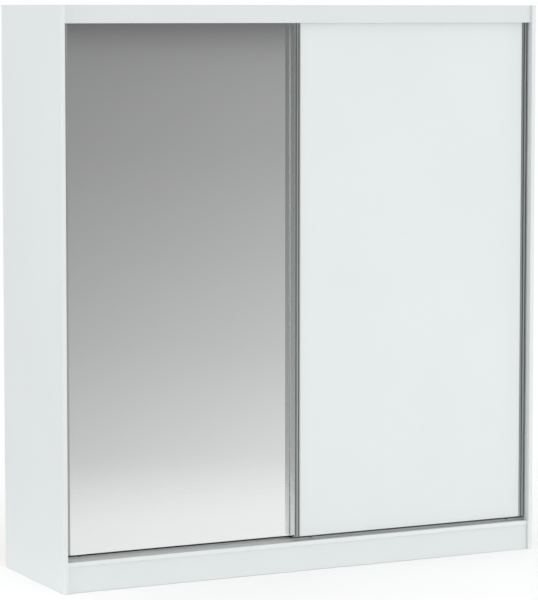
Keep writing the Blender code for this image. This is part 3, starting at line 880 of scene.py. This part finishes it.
def stile_finish_and_painted_light(face, reach, front, proud):
    """Which finish a face of a stile has, by its distance from the outer edge and the front: the plain
    aluminium, a darker copy as painted shade in the grooves, or a brighter copy as painted light on the
    outer side and the faces behind the panel's front.
    """
    depth = face.calc_center_median().y - front
    shallow = 0.0004
    if abs(face.normal.z) > FACING:
        return PLAIN
    # painted light: the outer side and the faces behind the panel's front take the brighter copy of the
    # aluminium
    if depth > proud - 0.0005 or reach < shallow:
        return PAINTED_LIGHT_FLANK
    # painted shade: faces inside the grooves take the darker copy of the aluminium
    in_groove = any(start - 0.0001 < reach < end + 0.0001 for start, end in STILE_GROOVES)
    return PAINTED_SHADE_GROOVE if in_groove and depth > shallow else PLAIN


def pile_seals():
    """Brush strips on the rear of the front door's flanges, towards the mirror door."""
    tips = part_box("mirror_door_stile_left")[0].y - PILE_CLEARANCE
    margin, sunk, trim = 0.0004, 0.0002, 0.003
    for side, sign in (("left", 1), ("right", -1)):
        low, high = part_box(f"panel_door_stile_{side}")
        outer = low.x if sign > 0 else high.x
        sides = sorted((outer + sign * margin, outer + sign * (STILE_FLANGE - margin)))
        shape = block(
            Vector((sides[0], high.y - sunk, low.z + trim)),
            Vector((sides[1], tips, high.z - trim)),
        )
        bmesh.ops.bevel(shape, geom=shape.edges[:], offset=0.0006, segments=2, affect="EDGES")
        smooth(piece(f"panel_door_pile_seal_{side}", shape, (PILE,), "panel_door"))


def mirror():
    """The mirror glass, with ground edges around its front and paint on its rear."""
    shape = block(*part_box("mirror_glass"))
    bmesh.ops.recalc_face_normals(shape, faces=shape.faces)
    front = next(face for face in shape.faces if face.normal.y < -FACING)
    bmesh.ops.bevel(shape, geom=front.edges[:], offset=0.0008, segments=2, affect="EDGES")
    finishes = (SILVER, GLASS_EDGE, MIRROR_PAINT)
    for face in shape.faces:
        if face.normal.y > FACING:
            face.material_index = finishes.index(MIRROR_PAINT)
        elif face.normal.y > -FACING:
            face.material_index = finishes.index(GLASS_EDGE)
    piece("mirror_pane", shape, finishes, "mirror_door", ["mirror_glass"])


def mirrored(half_profile):
    """A turned profile closed by its own mirror image across the middle plane."""
    return half_profile + [(radius, -height) for radius, height in reversed(half_profile)]


def wheels():
    """A black tyre pressed on a small ball bearing, for each wheel."""
    for door in ("mirror", "panel"):
        for side in ("left", "right"):
            node = f"{door}_door_wheel_{side}"
            low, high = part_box(node)
            centre, half = (low + high) / 2, (high.y - low.y) / 2
            tyre = [
                (BEARING_SEAT, half - 0.0003), (BEARING_SEAT + 0.0006, half),
                (TYRE_FLANGE - 0.0005, half), (TYRE_FLANGE, half - 0.0006), (TYRE_FLANGE, 0.0023),
                (TYRE_TREAD + 0.0002, 0.0017), (TYRE_TREAD, 0.0013),
            ]
            shape = bmesh.new()
            turned(shape, mirrored(tyre), centre, Y, 56)
            smooth(piece(f"{node}_tyre", shape, (BLACK_PLASTIC,), node, [node]))
            face, shield = half - 0.0001, half - 0.0006
            bearing = [
                (BEARING_BORE, face), (0.0042, face), (0.0043, shield), (0.0062, shield),
                (0.0063, face), (BEARING_SEAT - 0.0001, face),
            ]
            shape = bmesh.new()
            turned(shape, mirrored(bearing), centre, Y, 40)
            smooth(piece(f"{node}_bearing", shape, (STEEL,), node))


def carried_over(nodes, finish, bevel=0.0):
    """CAD nodes whose shape is right: a better material and, where asked for, eased edges."""
    for name in nodes:
        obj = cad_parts[name]
        for holder in obj.material_slots:
            holder.material = finish
        if bevel:
            weld = obj.modifiers.new("weld", "WELD")
            weld.merge_threshold = 0.00001
            ease = obj.modifiers.new("eased_edges", "BEVEL")
            ease.width = bevel
            ease.segments = 2
            ease.limit_method = "ANGLE"
            ease.angle_limit = math.radians(40)


def named(*starts):
    return [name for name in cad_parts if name.startswith(starts)]


def wardrobe():
    case_boards()
    back()
    rails()
    shelf_pins()
    cam_covers()
    bottom_track()
    top_track()
    track_screws()
    stiles("mirror", "mirror_glass")
    stiles("panel", "panel_door_board")
    pile_seals()
    mirror()
    wheels()
    carried_over(["mirror_door_board", "panel_door_board"], DOOR_LAMINATE)
    doors = ("mirror_door_", "panel_door_")
    carried_over(named(*(door + "axle" for door in doors)), STEEL)
    carried_over(named(*(door + "roller_carrier" for door in doors)), GREY_PLASTIC)
    guides = named("track_stop", *(door + "top_guide" for door in doors))
    carried_over(guides, BLACK_PLASTIC, 0.0004)
    carried_over(named("glide"), NYLON)


# ---- Studio ---------------------------------------------------------------------------------


FLOOR_RADIUS = 7.0
FLOOR_FADE = (0.4, 3.2)  # distances between which the floor melts into the backdrop
FLOOR_STRENGTH = (0.78, 0.0)  # its opacity before and after the fade


def studio_floor():
    shape = bmesh.new()
    bmesh.ops.create_circle(shape, cap_ends=True, segments=96, radius=FLOOR_RADIUS)
    mesh = bpy.data.meshes.new("studio_floor")
    shape.to_mesh(mesh)
    shape.free()
    floor = bpy.data.objects.new("studio_floor", mesh)
    SCENE.collection.objects.link(floor)
    made = bpy.data.materials.new("studio_floor")
    made.use_nodes = True
    tree = made.node_tree
    shader = tree.nodes["Principled BSDF"]
    shader.inputs["Base Color"].default_value = (0.95, 0.95, 0.95, 1)
    shader.inputs["Roughness"].default_value = 0.9
    shader.inputs["Specular IOR Level"].default_value = 0.1
    place = tree.nodes.new("ShaderNodeTexCoord").outputs["Object"]
    length = tree.nodes.new("ShaderNodeVectorMath")
    length.operation = "LENGTH"
    tree.links.new(place, length.inputs[0])
    distance = length.outputs["Value"]
    fade = remapped(tree, distance, *FLOOR_FADE, *FLOOR_STRENGTH, "SMOOTHSTEP")
    tree.links.new(fade, shader.inputs["Alpha"])
    mesh.materials.append(made)


# Brightness of the studio by the sine of the height angle, for light and reflections.
WORLD_STOPS = (
    (-0.26, 0.98), (-0.19, 0.79), (-0.152, 0.615), (-0.118, 0.485), (-0.084, 0.40),
    (-0.048, 0.325), (-0.030, 0.305), (-0.016, 0.280), (-0.011, 0.250), (-0.005, 0.165),
    (0.0, 0.165), (0.06, 0.30), (0.20, 0.50), (0.45, 0.86), (0.60, 0.98), (1.0, 1.12),
)
HORIZON = (0.02, -0.02)  # the blend from above the horizon to below it
SIDES = (0.30, 0.55, -0.27, 0.56)  # X from and to, and what is added below the horizon there


def studio_world():
    world = bpy.data.worlds.new("studio")
    SCENE.world = world
    world.use_nodes = True
    tree = world.node_tree
    new, link = tree.nodes.new, tree.links.new
    background = tree.nodes["Background"]
    background.inputs["Color"].default_value = (1, 1, 1, 1)
    lowest, highest = WORLD_STOPS[0][0], WORLD_STOPS[-1][0]
    brightest = max(level for _, level in WORLD_STOPS)
    direction = new("ShaderNodeSeparateXYZ")
    link(new("ShaderNodeTexCoord").outputs["Generated"], direction.inputs[0])

    def maths(operation, a, b):
        made = new("ShaderNodeMath")
        made.operation = operation
        for socket, value in zip(made.inputs, (a, b)):
            if isinstance(value, (int, float)):
                socket.default_value = value
            else:
                link(value, socket)
        return made.outputs[0]

    ramp = new("ShaderNodeValToRGB")
    stops = ramp.color_ramp.elements
    while len(stops) < len(WORLD_STOPS):
        stops.new(0.5)
    for stop, (height, level) in zip(stops, WORLD_STOPS):
        stop.position = (height - lowest) / (highest - lowest)
        stop.color = (level / brightest, level / brightest, level / brightest, 1)
    link(remapped(tree, direction.outputs["Z"], lowest, highest), ramp.inputs["Fac"])
    below = remapped(tree, direction.outputs["Z"], *HORIZON)
    side = remapped(tree, direction.outputs["X"], *SIDES)
    gain = maths("ADD", 1.0, maths("MULTIPLY", below, side))
    level = maths("MULTIPLY", maths("MULTIPLY", ramp.outputs["Color"], gain), brightest)
    seen = new("ShaderNodeLightPath").outputs["Is Camera Ray"]  # the backdrop itself is white
    unseen = maths("MULTIPLY", level, maths("SUBTRACT", 1.0, seen))
    link(maths("ADD", unseen, seen), background.inputs["Strength"])


def soft_light(name, place, target, size, watts):
    data = bpy.data.lights.new(name, "AREA")
    data.shape = "RECTANGLE"
    data.size, data.size_y = size
    data.energy = watts
    light = bpy.data.objects.new(name, data)
    light.location = place
    light.rotation_euler = (Vector(target) - Vector(place)).to_track_quat("-Z", "Y").to_euler()
    light.visible_glossy = False
    light.visible_camera = False
    SCENE.collection.objects.link(light)


def photo_camera():
    data = bpy.data.cameras.new("main")
    data.lens = 169.3
    data.sensor_width = 36
    data.shift_y = -0.08
    data.clip_end = 100
    camera = bpy.data.objects.new("main", data)
    camera.location = (-4.8633, -9.7277, 2.1203)
    camera.rotation_euler = (math.radians(90 - 4.843), 0, math.radians(-26.480))
    SCENE.collection.objects.link(camera)
    SCENE.camera = camera
    SCENE.view_settings.view_transform = "Standard"


def studio():
    studio_floor()
    studio_world()
    soft_light("key", (2.9, -5.2, 1.9), (0.2, 0, 1.15), (3.0, 2.4), 45)
    soft_light("front_fill", (-1.2, -6.2, 1.4), (0.0, 0, 1.25), (3.0, 2.0), 33)
    soft_light("left_fill", (-5.4, -0.7, 2.4), (-0.8, 0, 1.0), (2.4, 2.4), 78)
    photo_camera()


wardrobe()
studio()
